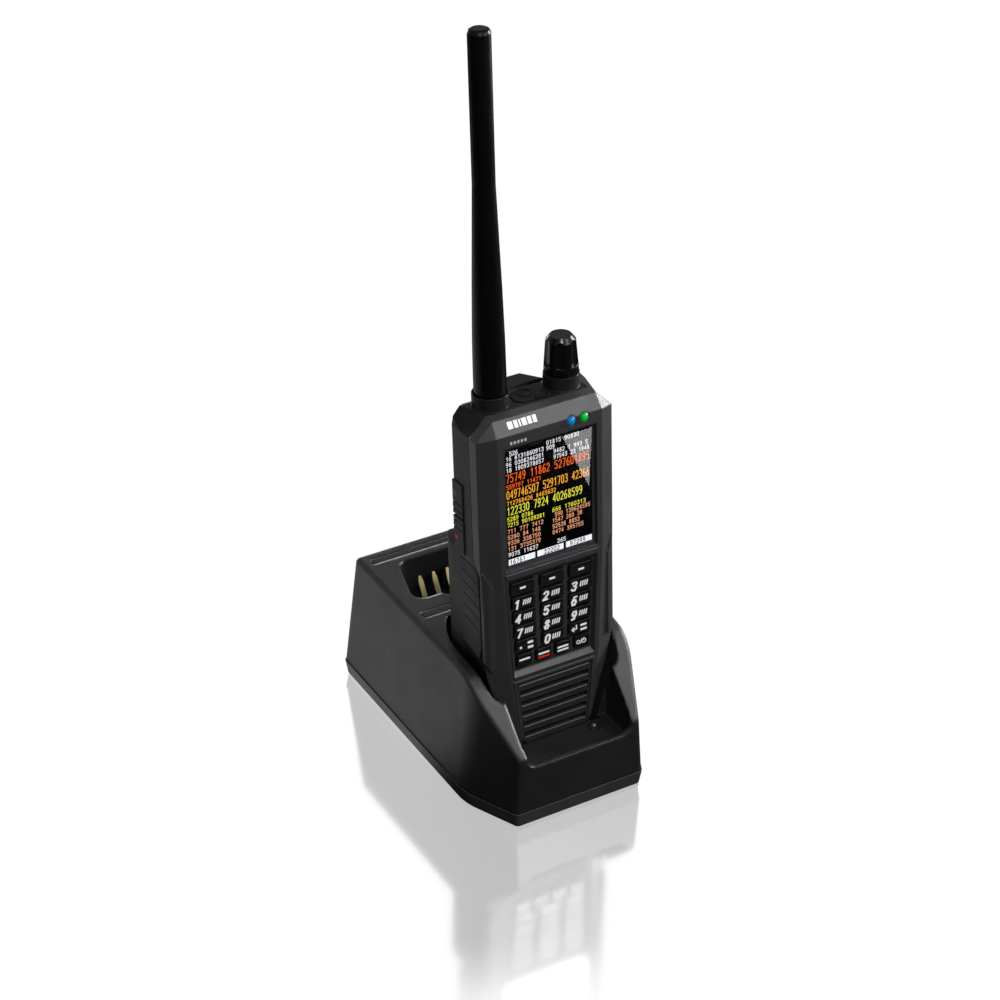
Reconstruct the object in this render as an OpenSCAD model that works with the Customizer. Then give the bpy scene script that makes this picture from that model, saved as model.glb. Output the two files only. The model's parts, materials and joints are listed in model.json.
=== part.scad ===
// Handheld radio scanner standing in its desktop charging cradle.
// Millimetres. +Z is up, the front faces -Y, and the origin is the bottom
// centre of the whole set, on the surface it stands on.

/* [General] */
// Facets of round parts when shown as a mesh
$fn = 64; // [48:16:96]

/* [Cradle] */
// Height of the flat top above the base plate's underside
top_z = 58; // [57:0.5:60]
// Thickness of the housing's walls
wall = 2.2; // [1.8:0.1:2.4]
// How far the rubber feet stand out below the base plate
foot_out = 0.8; // [0.6:0.1:1.2]
// Backward lean of the radio pocket, in degrees
lean = 3; // [2.5:0.25:3.5]

/* [Radio] */
// Length of the antenna above the radio's top
antenna_length = 145; // [90:5:180]
// Visible width of the display
display_width = 36.7; // [36:0.1:37.2]
// Travel of a key
key_travel = 0.7; // [0.4:0.1:0.8]

/* [Hidden] */

eps = 0.01;

// Where the radio's own frame stands in the cradle: the face's plane meets the
// bottom centre of the display here. Radio axes: x across, y into the body, z up.
radio_y = -39.7;
radio_z = 104;

// ---- cradle outlines: right-hand corners, rear, side and front ----
skin_low_z = 6;
low_corners = [[38.7, 62.7], [38.7, -39.6], [28.2, -62.7]];
high_corners = [[34.9, 58], [34.9, -40], [25.1, -61.6]];
edge_r = 2;
rear_corner_r = 2;
side_corner_r = 26;
front_corner_r = 2;
// The top seen from the side: level, then down over the wings to the front.
wing_profile = [[70, 0], [-27, 0], [-32, -0.6], [-36, -1.8], [-40, -4.4], [-43, -7.4],
                [-64, -28.8], [-64, -60], [70, -60]];
shelf_z = 22.5;
shelf_half = 24;
lip_z = 26;
crease_y = 1.5;

// ---- spare battery bay ----
bay_floor_z = 26;
bay_rear_half = 22.6;
bay_front_half = 27.3;
bay_rear_y = 45.7;
bay_front_y = 18;
bay_r = 5;

// ---- screws and feet ----
boss_xy = [[30, 51.5], [31, -28]];
boss_r = 3.2;
screw_r = 1.2;
foot_xy = [[30, 40], [27, -48]];
foot_r = 5;

// ---- radio outline seen from the front: right half, top to bottom ----
body_top = 61.1;
body_bottom = -87;
half_outline = [[22.1, 61.1], [29, 54.2], [29, 2], [28, -4.5], [28, -44], [27.3, -49.5],
                [25.2, -58], [22.8, -65], [20.6, -72.5], [19, -80], [17, -87]];
face_outline = [[22.3, 55.8], [22.1, 0], [19.9, -48], [17.3, -66], [15.6, -79]];
bevel_d = 4;
seam_d = 9;
low_seam_d = 5;
rear_d = 25;
seat_d = 20;
pack_rear_d = 40;
skin = 2.2;
top_skin = 3.8;
screw_z = [8, 43];
screw_x = 22;

// ---- display and keypad ----
display_height = display_width * 4 / 3;
window_half = 19.8;
window_low = -1.5;
window_high = 50.3;
window_d = [0.3, 1.1];
panel_d = 1.25;
key_color = "#2d2d2f";
key_top_d = 0.3;
pad_floor_d = 1.6;
pad_back_d = 3.1;
key_flange_d = 3.5;
key_back_d = 4;
mat_d = 5;
row_top = -7.8;
row_pitch = 6.49;
key_h = 5.3;
col_gap = 2.6;
low_gap = 2;

// ---- speaker grille ----
grille_top = -53.2;
slat_pitch = 4.9;
slat_count = 6;
grille_bottom = -80.2;

// ---- things on the radio's top ----
post_x = 15.15;
post_d = 17;
collar_h = 5;
antenna_r = 4.25;

// ================= helpers =================

function flip(p) = [-p[0], p[1]];
function both(list) = concat(list, [for (i = [len(list) - 1 : -1 : 0]) flip(list[i])]);
function unit(v) = v / norm(v);
function inward(a, b) = unit([b[1] - a[1], a[0] - b[0]]);
function cross2(a, b) = a[0] * b[1] - a[1] * b[0];
// Corner b of a clockwise outline a, b, c, moved in by r from both its edges.
function moved_in(a, b, c, r) =
    let (p = a + r * inward(a, b), u = b - a, q = c + r * inward(b, c), v = b - c)
    p + u * cross2(q - p, v) / cross2(u, v);
function corner(list, i, r) =
    i == 0 ? moved_in(flip(list[0]), list[0], list[1], r)
    : i == 1 ? moved_in(list[0], list[1], list[2], r)
    : moved_in(list[1], list[2], flip(list[2]), r);
function inset(list, r) = both([for (i = [0 : 2]) corner(list, i, r)]);

module mirrored() {
  children();
  mirror([1, 0, 0]) children();
}

// Extrudes an outline drawn in (y, z) across x, centred.
module across(width) {
  rotate([90, 0, 90]) translate([0, 0, -width / 2]) linear_extrude(height = width) children();
}

// Extrudes an outline drawn in (x, z) into the body, from depth a to depth b.
module deep(a, b) {
  translate([0, b, 0]) rotate([90, 0, 0]) linear_extrude(height = b - a) children();
}

module on_feet() {
  translate([0, 0, foot_out]) children();
}

// Places the radio's frame in the cradle, measured from the base plate.
module in_pocket() {
  translate([0, radio_y, radio_z]) rotate([-lean, 0, 0]) children();
}

module in_radio() {
  on_feet() in_pocket() children();
}

// A rectangle whose corners are rounded in four steps.
module round_rect(w, h, r) {
  polygon([for (q = [0 : 3]) for (a = [0 : 22.5 : 90])
    [(q == 0 || q == 3 ? 1 : -1) * (w / 2 - r) + r * cos(90 * q + a),
     (q < 2 ? 1 : -1) * (h / 2 - r) + r * sin(90 * q + a)]]);
}

// ================= cradle =================

side_turn = 24.4;
arm = side_corner_r - edge_r;

function outline_at(z) =
  let (t = (z - skin_low_z) / (top_z - skin_low_z))
  [for (i = [0 : 2]) low_corners[i] + t * (high_corners[i] - low_corners[i])];
// Half width of the housing at y and z, moved in by edge_r.
function half_at(y, z) =
  let (o = outline_at(z), c = corner(o, 1, side_corner_r), f = corner(o, 2, edge_r),
       e = c + arm * [cos(side_turn), -sin(side_turn)])
  y > c[1] ? c[0] + arm
  : y > e[1] ? c[0] + sqrt(arm * arm - (y - c[1]) * (y - c[1]))
  : e[0] + (f[0] - e[0]) * (y - e[1]) / (f[1] - e[1]);
// The wing profile moved in by edge_r, front end first, for lookup().
inner_profile = [for (i = [6 : -1 : 1])
  moved_in(wing_profile[i - 1], wing_profile[i], wing_profile[i + 1], -edge_r)];
arc_top = corner(high_corners, 1, side_corner_r)[1];
front_y = corner(outline_at(32), 2, edge_r)[1];
wing_y = concat([-27, -31], [for (a = [0 : 3.05 : side_turn]) arc_top - arm * sin(a)],
                [front_y]);

module skin_posts() {
  rear_low = corner(low_corners, 0, rear_corner_r);
  rear_high = corner(high_corners, 0, edge_r);
  side_low = corner(low_corners, 1, side_corner_r);
  front_low = corner(low_corners, 2, front_corner_r);
  translate([rear_low[0], rear_low[1], skin_low_z]) cylinder(r = rear_corner_r, h = eps);
  translate([rear_high[0], rear_high[1], top_z - edge_r]) sphere(r = edge_r, $fn = 48);
  translate([front_low[0], front_low[1], skin_low_z]) cylinder(r = front_corner_r, h = eps);
  for (a = [0 : 3.05 : side_turn])
    translate([side_low[0] + arm * cos(a), side_low[1] - arm * sin(a), skin_low_z])
      cylinder(r = edge_r, h = eps, $fn = 48);
  // The rounded edge along the top of the wing.
  for (y = wing_y) {
    z = top_z + lookup(y, inner_profile);
    translate([half_at(y, z), y, z]) sphere(r = edge_r, $fn = 32);
  }
}

module cradle_skin() {
  hull() mirrored() skin_posts();
}

module cradle_hollow() {
  intersection() {
    hull() {
      translate([0, 0, skin_low_z - 1]) linear_extrude(height = eps)
        polygon(inset(low_corners, wall));
      translate([0, 0, top_z - wall]) linear_extrude(height = eps)
        polygon(inset(high_corners, wall));
    }
    across(90) translate([1, top_z - wall]) polygon(wing_profile);
  }
}

// The radio's pocket in the radio's frame; grow makes the tub around it.
module pocket(grow = 0) {
  plan = [[24.25, -3.3], [26, -2.7], [27.6, -1.6], [29.2, 0.2], [30.4, 3], [30.4, 12],
          [29.9, 22], [29.2, 29], [27.6, 36], [25.6, 40], [22.8, 43]];
  front = [[32, 5], [32, -38], [30.4, -44], [29.2, -50.5], [26.8, -60], [24.4, -67],
           [22.3, -74], [20.6, -81], [18.7, -87.4]];
  intersection() {
    translate([0, 0, -95]) linear_extrude(height = 100)
      polygon(both([for (p = plan)
        [p[0] + grow, p[1] > 40 ? p[1] + 1.5 + grow : p[1] - (p[1] < 0 ? grow : 0)]]));
    deep(-20, 60) polygon(both([for (p = front) [p[0] + grow, p[1] - (p[1] < 0 ? grow : 0)]]));
    across(90) polygon([[-8, 5], [-8, -81.2 - grow], [0.6 - grow / 2, -81.2 - grow],
                        [3.7 - grow / 2, -87.4 - grow], [41, -87.4 - grow], [46.5, -82],
                        [46.5, 5]]);
  }
}

module bay_plan(grow = 0) {
  rx = bay_rear_half - bay_r;
  ry = bay_rear_y - bay_r;
  fx = bay_front_half - bay_r;
  fy = bay_front_y + bay_r;
  side_a = atan2(bay_front_half - bay_rear_half, ry - fy);
  for (s = [-1, 1]) {
    translate([s * rx, ry]) circle(r = bay_r + grow);
    translate([s * fx, fy]) circle(r = bay_r + grow);
  }
  polygon(both([[rx, bay_rear_y + grow],
                [rx + (bay_r + grow) * cos(side_a), ry + (bay_r + grow) * sin(side_a)],
                [fx + (bay_r + grow) * cos(side_a), fy + (bay_r + grow) * sin(side_a)],
                [fx, bay_front_y - grow]]));
  polygon(both([[16.6 + grow, bay_front_y + 2], [16.6 + grow, bay_front_y - grow / 2],
                [12 + grow, 13 - grow]]));
}

module front_opening() {
  r = 5;
  half = 23.6;
  translate([-half, lip_z + r]) square([2 * half, 60]);
  translate([-half + r, lip_z]) square([2 * half - 2 * r, 60]);
  for (s = [-1, 1]) translate([s * (half - r), lip_z + r]) circle(r = r);
}

module housing_cuts() {
  in_pocket() pocket();
  translate([-shelf_half, -59.5, shelf_z]) cube([2 * shelf_half, 17.6, 60]);
  deep(-70, -58) front_opening();
  translate([0, 0, bay_floor_z]) linear_extrude(height = 60) bay_plan();
  // Lead-in in front of the crease: a shallow slope, and a steeper one along each side.
  for (s = [0, 1]) mirror([s, 0, 0]) intersection() {
    translate([0, crease_y, top_z]) rotate([6.4, 0, 0]) translate([0, -60, 0]) cube([40, 60, 20]);
    translate([34.6, crease_y, top_z]) rotate([0, 27, 0]) translate([-60, -60, 0])
      cube([60, 60, 20]);
  }
}

module boss_places(list) {
  for (p = list, s = [-1, 1]) translate([s * p[0], p[1], 0]) children();
}

inlay_y = [51.15, 8.15];
inlay_w = 61.2;
inlay_d = [3.7, 4.3];
inlay_gap = 0.45;
inlay_deep = 1.4;
light_xy = [15.5, -46.9];
inlet_z = 14;
inlet_r = 4.6;

module cradle_housing() {
  color("#1b1b1d") on_feet() difference() {
    union() {
      difference() {
        cradle_skin();
        cradle_hollow();
      }
      intersection() {
        cradle_skin();
        union() {
          in_pocket() pocket(1.8);
          translate([0, 0, bay_floor_z - 1.8]) linear_extrude(height = 40) bay_plan(1.8);
          translate([-shelf_half - 1.8, -63, shelf_z - 2])
            cube([2 * shelf_half + 3.6, 24, 36]);
          boss_places(boss_xy) translate([0, 0, 2.2]) cylinder(r = boss_r, h = 54);
        }
      }
      // Locating rim that drops inside the base plate.
      difference() {
        union() {
          translate([0, 0, 4.4]) linear_extrude(height = 3) polygon(inset(low_corners, 2.5));
          translate([0, 0, 6]) linear_extrude(height = 1.4) polygon(inset(low_corners, 1));
        }
        translate([0, 0, 4]) linear_extrude(height = 5) polygon(inset(low_corners, 4));
      }
      boss_places(boss_xy) translate([0, 0, 2.2]) cylinder(r = boss_r, h = 12);
    }
    difference() {
      housing_cuts();
      // Guide blocks in the bay's front corners.
      mirrored() translate([21, 15, bay_floor_z - 1]) cube([10, 9, 29]);
    }
    for (i = [0, 1]) translate([0, inlay_y[i], top_z - inlay_deep]) linear_extrude(height = 5)
      round_rect(inlay_w, inlay_d[i], 1.2);
    boss_places(boss_xy) cylinder(r = screw_r + 0.05, h = 12);
    translate([0, 56, inlet_z]) rotate([-90, 0, 0]) cylinder(r = inlet_r + 0.2, h = 10);
    translate([light_xy[0], light_xy[1], 15]) cylinder(r = 1.6, h = 12);
    translate([light_xy[0], light_xy[1], shelf_z - 0.6]) cylinder(r = 2.7, h = 3);
    in_pocket() translate([0, 30, -92]) linear_extrude(height = 6) round_rect(26.2, 9.2, 1);
  }
}

base_low = [[38.2, 62.2], [38.2, -39.2], [27.8, -62.2]];
base_high = [[39, 63], [39, -39.9], [28.5, -63]];

module base_posts(corners, z) {
  radii = [rear_corner_r, side_corner_r, front_corner_r];
  for (i = [0 : 2]) {
    p = corner(corners, i, radii[i]);
    translate([p[0], p[1], z]) cylinder(r = radii[i], h = eps, $fn = 96);
  }
}

board_z = 8.6;
board_t = 1.6;
stand_xy = [[21, -4], [21, 46]];

module cradle_base() {
  color("#202022") on_feet() difference() {
    union() {
      difference() {
        hull() mirrored() {
          base_posts(base_low, 0);
          base_posts(base_high, skin_low_z - eps);
        }
        translate([0, 0, 2]) linear_extrude(height = 6) polygon(inset(low_corners, 2.3));
      }
      // Standoffs that carry the charger board on pins.
      boss_places(stand_xy) translate([0, 0, 1]) cylinder(r = 2.8, h = board_z - 1);
      boss_places(stand_xy) translate([0, 0, 1]) cylinder(r = 1.3, h = board_z + 0.2);
    }
    boss_places(boss_xy) translate([0, 0, -1]) cylinder(r = screw_r + 0.2, h = 6);
    boss_places(boss_xy) translate([0, 0, -1]) cylinder(r = 3, h = 2.2);
    boss_places(foot_xy) translate([0, 0, -1]) cylinder(r = foot_r + 0.1, h = 1.8);
  }
}

module rubber_feet() {
  color("#101010") boss_places(foot_xy) cylinder(r = foot_r, h = foot_out + 0.75);
}

module base_screws() {
  color("#8f9296") on_feet() boss_places(boss_xy) difference() {
    union() {
      translate([0, 0, 0.1]) cylinder(r = 2.7, h = 1.05);
      cylinder(r = screw_r, h = 10.5);
    }
    translate([0, 0, -1]) cylinder(r = 1.1, h = 1.7, $fn = 6);
  }
}

module top_inlays() {
  color("#0d0d0e") on_feet() for (i = [0, 1])
    translate([0, inlay_y[i], top_z - inlay_deep]) linear_extrude(height = inlay_deep)
      round_rect(inlay_w - 2 * inlay_gap, inlay_d[i] - 2 * inlay_gap, 0.8);
}

module charger_board() {
  color("#14532f") on_feet() difference() {
    translate([-25, -8, board_z]) cube([50, 62, board_t]);
    boss_places(stand_xy) translate([0, 0, board_z - 1]) cylinder(r = 1.4, h = 4);
  }
}

module charger_coil() {
  color("#8a4b2a") on_feet() translate([12, 15, board_z + board_t]) {
    cylinder(r = 3.4, h = 7);
    cylinder(r = 6, h = 1.2);
    translate([0, 0, 6.2]) cylinder(r = 6, h = 1.2);
  }
}

module charger_capacitors() {
  color("#2a2f4a") on_feet() for (x = [-14, -4])
    translate([x, 15, board_z + board_t]) cylinder(r = 3.6, h = 9);
}

module power_inlet() {
  color("#19191a") on_feet() {
    difference() {
      union() {
        translate([-5, 46.5, board_z + board_t]) cube([10, 12, 8.4]);
        translate([0, 58, inlet_z]) rotate([-90, 0, 0]) cylinder(r = inlet_r, h = 3.8);
      }
      translate([0, 51, inlet_z]) rotate([-90, 0, 0]) cylinder(r = 2.9, h = 12);
    }
    translate([0, 50.5, inlet_z]) rotate([-90, 0, 0]) cylinder(r = 1, h = 9.5);
  }
}

// ---- charging contacts ----
contact_pitch = 6.35;
contact_w = 2.2;
contact_lean = 31;
bay_block_top = 41.3;

module bay_contact_block() {
  color("#151516") on_feet() difference() {
    translate([-17, 34.5, bay_floor_z]) cube([34, 11.1, bay_block_top - bay_floor_z]);
    for (i = [-2 : 2]) translate([i * contact_pitch - 1.4, 36.4, bay_floor_z + 4])
      cube([2.8, 5.6, 20]);
  }
}

module bay_contacts() {
  color("#e2c889") on_feet() for (i = [-2 : 2]) translate([i * contact_pitch, 0, 0]) {
    translate([0, 39, bay_block_top + 0.4]) rotate([-contact_lean, 0, 0])
      deep(-0.2, 0.2) polygon(both([[0.5, 9.4], [contact_w / 2, 6.8], [contact_w / 2, -0.6]]));
    translate([0, 38.4, bay_block_top - 1]) rotate([0, 90, 0]) difference() {
      cylinder(r = 1.3, h = contact_w, center = true);
      cylinder(r = 0.9, h = 5, center = true);
    }
    translate([-contact_w / 2, 37.1, bay_floor_z + 4]) cube([contact_w, 0.4, 10.3]);
  }
}

module pocket_contact_block() {
  color("#151516") on_feet() in_pocket() difference() {
    translate([0, 30, -89]) linear_extrude(height = 1.6) round_rect(26, 9, 0.9);
    for (i = [-1.5 : 1.5]) translate([i * contact_pitch - 1.3, 26.5, -88])
      cube([2.6, 7, 2]);
  }
}

module pocket_contacts() {
  color("#e2c889") on_feet() in_pocket() for (i = [-1.5 : 1.5])
    translate([i * contact_pitch, 30, 0]) across(contact_w)
      polygon([[-3, -88], [-3, -87.5], [-1, -86.4], [1, -86.4], [3, -87.5], [3, -88],
               [1, -86.8], [-1, -86.8]]);
}

module charge_light() {
  color("#d8dcd8") on_feet() translate([light_xy[0], light_xy[1], 0]) {
    translate([0, 0, 19.5]) cylinder(r = 1.5, h = shelf_z - 19.5);
    translate([0, 0, shelf_z]) intersection() {
      sphere(r = 1.5);
      translate([-3, -3, -0.2]) cube([6, 6, 3]);
    }
  }
}

module charge_light_ring() {
  color("#0c0c0c") on_feet() translate([light_xy[0], light_xy[1], shelf_z - 0.6]) difference() {
    cylinder(r = 2.65, h = 0.85);
    translate([0, 0, -1]) cylinder(r = 1.55, h = 3);
  }
}

// ================= radio =================

function shrink(list, t) = [for (p = list)
  [p[0] - t, p[1] > 50 ? p[1] - top_skin : p[1] < -80 ? p[1] + t : p[1]]];

module body_front() {
  hull() {
    deep(0, eps) polygon(both(face_outline));
    deep(bevel_d, bevel_d + eps) polygon(both(half_outline));
  }
}

module body_core(rear) {
  deep(bevel_d, rear) polygon(both(half_outline));
}

module body_rear() {
  hull() {
    deep(15, 15 + eps) polygon(both([for (p = half_outline) if (p[1] > 0) p]));
    deep(22 - eps, 22) polygon(both([[25.6, 60.9], [28.4, 57.6], [29, 54.2], [29, 2]]));
    deep(rear_d - eps, rear_d) polygon(both([[22.4, 59.6], [26, 55.5], [26, 3]]));
  }
}

module whole_body() {
  union() {
    body_front();
    body_core(seat_d);
    intersection() {
      body_core(22);
      across(90) polygon([[0, 1], [30, 1], [30, 70], [0, 70]]);
    }
    body_rear();
    // Clip mount down the middle of the back.
    translate([0, 0, 18]) linear_extrude(height = body_top - 18)
      polygon(both([[6, 32.4], [11.3, 24.5]]));
  }
}

// The seam between the shells seen from the side: it steps forward low down.
module front_side() {
  across(90) polygon([[-2, 70], [seam_d, 70], [seam_d, 4], [low_seam_d + 1.4, -3],
                      [low_seam_d, -10], [low_seam_d, -90], [-2, -90]]);
}

module rear_side() {
  g = 0.15;
  across(90) polygon([[40, 70], [seam_d + g, 70], [seam_d + g, 4], [low_seam_d + 1.4 + g, -3],
                      [low_seam_d + g, -10], [low_seam_d + g, -90], [40, -90]]);
}

// Foot: the lower front edge is cut back to fit over the shelf.
module foot_cut() {
  across(90) polygon([[-2, -78.8], [0, -79], [3.6, -87.1], [3.6, -90], [-2, -90]]);
}

module inner_space() {
  inner = shrink(half_outline, skin);
  intersection() {
    deep(pad_back_d, rear_d - skin) polygon(both(inner));
    across(90) polygon([[0, 70], [23, 70], [23, 3], [seat_d - 2, 1], [seat_d - 2, -84],
                        [5.6, -84], [2.5, -78], [0, -78]]);
  }
}

// The four case screws, from depth d into the body.
module at_screws(d) {
  for (s = [-1, 1], z = screw_z) translate([s * screw_x, d, z]) rotate([-90, 0, 0]) children();
}

function key_half(row) = 17.93 - 0.392 * row;
function key_w(row) = row < 5 ? (2 * key_half(row) - 2 * col_gap) / 3
                              : (2 * key_half(row) - 3 * low_gap) / 4;
function key_x(row, col) = row < 5 ? (col - 1) * (key_w(row) + col_gap)
                                   : (col - 1.5) * (key_w(row) + low_gap);
function key_z(row) = row_top - row * row_pitch - key_h / 2;
key_places = [for (row = [0 : 5]) for (col = [0 : (row < 5 ? 2 : 3)]) [row, col]];

module key_at(row, col) {
  translate([key_x(row, col), 0, key_z(row)]) children();
}

module key_prism(row, a, b, grow) {
  deep(a, b) round_rect(key_w(row) + 2 * grow, key_h + 2 * grow, 0.8 + grow);
}

// One key: a stem through the shell with a flange behind and a raised upper edge.
module key_cap(row, col) {
  in_radio() key_at(row, col) difference() {
    union() {
      key_prism(row, key_top_d, key_back_d, 0);
      key_prism(row, key_flange_d, key_back_d, 0.45);
    }
    // The face slopes in below the raised upper edge.
    across(20) polygon([[key_top_d - 1, 1.9], [key_top_d, 1.9], [key_top_d + 0.35, 1.4],
                        [key_top_d + 0.15, -3], [key_top_d - 1, -3]]);
    translate([0, 2.3, 0]) rotate([-90, 0, 0]) cylinder(r = 2, h = 3);
  }
}

lights_x = [9.2, 14.8];
light_h = 54.5;
light_r = 1.9;

module front_shell() {
  ridge = 0.3;
  color("#222224") in_radio() difference() {
    union() {
      intersection() {
        whole_body();
        front_side();
      }
      // Raised frames round the keypad and the grille.
      deep(-ridge, 1) polygon(both([[20.4, -2.9], [18.2, -49.8]]));
      deep(-ridge, 1) polygon(both([[18.1, -51.4], [15.5, -78.2]]));
      // Raised grip strips on the side bevels.
      mirrored() intersection() {
        translate([0, 0, -46]) linear_extrude(height = 48)
          polygon([[24.4, 2.6], [25.2, 1.35], [26.8, 1.9], [28.4, 3.2], [28.6, 5], [26, 5]]);
        deep(0, 6) polygon([[20, -46], [20, -40], [24.8, -44], [26.6, -44.6], [28, -42.5],
                            [30, -38], [30, -6], [28.8, 0], [26, -6], [24, -9], [20, -9]]);
      }
    }
    foot_cut();
    difference() {
      inner_space();
      at_screws(2) cylinder(r = 2.6, h = 10);
    }
    at_screws(6) cylinder(r = 1.15, h = 8);
    // Display window and the opening behind it.
    deep(-2, panel_d) polygon(both([[window_half + 0.1, window_high + 0.1],
                                    [window_half + 0.1, window_low - 0.1]]));
    deep(-2, 6) polygon(both([[display_width / 2 + 0.2, display_height + 0.2],
                              [display_width / 2 + 0.2, -0.2]]));
    // Keypad recess with sloping walls, and a hole for each key.
    hull() {
      deep(-ridge - 0.02, -ridge - 0.01) polygon(both([[19.8, -5.3], [17.8, -49.3]]));
      deep(pad_floor_d - eps, pad_floor_d) polygon(both([[19, -6.2], [17.1, -47.5]]));
    }
    for (k = key_places) key_at(k[0], k[1]) key_prism(k[0], -1, 6, 0.25);
    // Grille opening and the two indicator lights.
    deep(-2, 6) polygon(both([[17, -52.6], [14.4, -80.6]]));
    for (x = lights_x) translate([x, -2, light_h]) rotate([-90, 0, 0])
      cylinder(r = light_r + 0.05, h = 10);
    mirrored() grip_recess();
  }
}

module grip_recess() {
  translate([27.2, 0, 0]) rotate([90, 0, 90]) linear_extrude(height = 6)
    polygon([[21, -1.2], [9.4, -1.2], [6.6, -5], [5.9, -20], [5.8, -36], [8, -41.8], [21, -38]]);
}

button_d = [15.4, 22.6];
button_h = [16.9, 1.6];
button_len = 14.2;

module side_button(low) {
  color("#2b2b2d") in_radio() difference() {
    union() {
      translate([-29.5, button_d[0], low]) cube([1.3, button_d[1] - button_d[0], button_len]);
      translate([-28.3, button_d[0] + 1, low + 2]) cube([3, 5.2, button_len - 4]);
    }
    for (i = [0, 1]) translate([-30.2, button_d[0] - 1, low + (low > 10 ? 1.7 : 9.2) + 3.1 * i])
      cube([1.1, 12, 0.5]);
  }
}

module rear_shell() {
  color("#1c1c1e") in_radio() difference() {
    union() {
      intersection() {
        whole_body();
        rear_side();
      }
      for (s = [-1, 1]) translate([s * post_x, post_d, body_top - 1])
        cylinder(r1 = s < 0 ? 7.1 : 7.35, r2 = s < 0 ? 7.1 : 6.9, h = collar_h + 1);
    }
    foot_cut();
    difference() {
      inner_space();
      at_screws(12.1) cylinder(r = 2.6, h = 12);
    }
    // Antenna recess and bore, knob bore.
    translate([-post_x, post_d, body_top + 1.8]) cylinder(r = 6.5, h = 9);
    translate([-post_x, post_d, 40]) cylinder(r = 3.6, h = 30);
    translate([post_x, post_d, 40]) cylinder(r = 3.6, h = 40);
    // Seat of the jack cover and the hole under it.
    translate([0, 0, body_top - 1.7]) linear_extrude(height = 5) cover_plan(0.25);
    translate([0, jack_d, 45]) cylinder(r = 3.1, h = 30);
    // Recess of the two side buttons.
    translate([-34, button_d[0] - 0.4, button_h[1] - 0.4]) cube([6.6, 12, 30.3]);
    for (low = button_h) translate([-34, button_d[0] + 0.7, low + 1.7])
      cube([8.5, 5.8, button_len - 3.4]);
    mirrored() grip_recess();
    // Slot of the clip mount.
    translate([-4, 28.6, 17]) cube([8, 2, 36]);
    translate([-2.4, 27, 17]) cube([4.8, 8, 34]);
    at_screws(12) cylinder(r = 1.3, h = 20);
    at_screws(23.6) cylinder(r = 2.3, h = 10);
  }
}

module display_window() {
  color([0.1, 0.1, 0.12, 0.4]) in_radio()
    deep(window_d[0], window_d[1])
      polygon(both([[window_half, window_high], [window_half, window_low]]));
}

module display_panel() {
  color("#20242c") in_radio() {
    translate([-19.2, 3.3, -3]) cube([38.4, 2.6, 54.5]);
    deep(panel_d, 3.5) polygon(both([[display_width / 2, display_height], [display_width / 2, 0]]));
  }
}

module main_board() {
  color("#14532f") in_radio() difference() {
    deep(9.6, 11.2) polygon(both([[19, 56], [25.5, 50], [25.5, -44], [17, -70]]));
    at_screws(8) cylinder(r = 2.8, h = 5);
  }
}

module keypad_mat() {
  color("#3a3a3d") in_radio() {
    deep(mat_d, mat_d + 1.2) polygon(both([[19.4, -6], [17.6, -48]]));
    for (k = key_places) key_at(k[0], k[1]) translate([0, mat_d - 1.7, 0])
      rotate([-90, 0, 0]) cylinder(r = 1.5, h = 1.8);
  }
}

module speaker() {
  color("#3c3c40") in_radio() translate([0, 0, -66]) rotate([-90, 0, 0]) {
    difference() {
      translate([0, 0, 3.3]) cylinder(r = 13, h = 2);
      translate([0, 0, 3]) cylinder(r = 11.6, h = 1.6);
    }
    translate([0, 0, 3.6]) cylinder(r1 = 3.4, r2 = 11.5, h = 1.1);
    translate([0, 0, 5.3]) cylinder(r = 7, h = 3.4);
  }
}

module speaker_grille() {
  color("#242426") in_radio() {
    difference() {
      deep(0, 2.6) polygon(both([[16.8, -52.8], [14.2, -80.4]]));
      deep(-1, 4) polygon(both([[15.7, grille_top], [13.5, -79.9]]));
    }
    intersection() {
      deep(-1, 4) polygon(both([[16, -52.9], [13.8, -80.3]]));
      for (i = [0 : slat_count - 1]) translate([0, 0, grille_top - 0.5 - i * slat_pitch])
        across(34) polygon([[0.3, 0], [0, -0.4], [0, -2.3], [1.4, -3.9], [2.4, -3.9], [2.4, 0]]);
    }
  }
}

module indicator(x) {
  in_radio() translate([x, 0, light_h]) {
    translate([0, 0.2, 0]) rotate([-90, 0, 0]) cylinder(r = light_r, h = 5);
    translate([0, 0.9, 0]) difference() {
      sphere(r = light_r);
      translate([-4, 0, -4]) cube([8, 8, 8]);
    }
  }
}

module side_grips() {
  color("#2c2c2e") in_radio() mirrored() difference() {
    translate([27.3, 0, 0]) rotate([90, 0, 90]) linear_extrude(height = 1.3)
      polygon([[20, -1.5], [9.6, -1.5], [6.9, -5.2], [6.2, -20], [6.1, -36], [8.2, -41.4],
               [20, -38]]);
    for (i = [0 : 4]) translate([28.2, 6.6, -8.2 - 5.1 * i]) rotate([9, 0, 0])
      cube([1, 12.2, 0.5]);
  }
}

// ---- antenna ----
module antenna() {
  tip = body_top + antenna_length;
  color("#161617") in_radio() translate([-post_x, post_d, 0]) difference() {
    rotate_extrude() polygon([[0, 63.4], [6.1, 63.4], [6.2, 66.5], [6.2, 73], [6.05, 88],
      [5.55, 108], [4.9, 128], [antenna_r + 0.05, 147], [antenna_r, 148], [antenna_r, tip - 1.6],
      [antenna_r - 0.5, tip - 0.5], [antenna_r - 1.5, tip], [0, tip]]);
    translate([0, 0, 60]) cylinder(r = 3.15, h = 12);
  }
}

module antenna_socket() {
  color("#c9a65a") in_radio() translate([-post_x, post_d, 0]) difference() {
    union() {
      translate([0, 0, 50]) cylinder(r = 3.1, h = 19.5);
      translate([0, 0, 50]) cylinder(r = 4.6, h = 1.6);
    }
    translate([0, 0, 58]) cylinder(r = 0.6, h = 14);
  }
}

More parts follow.
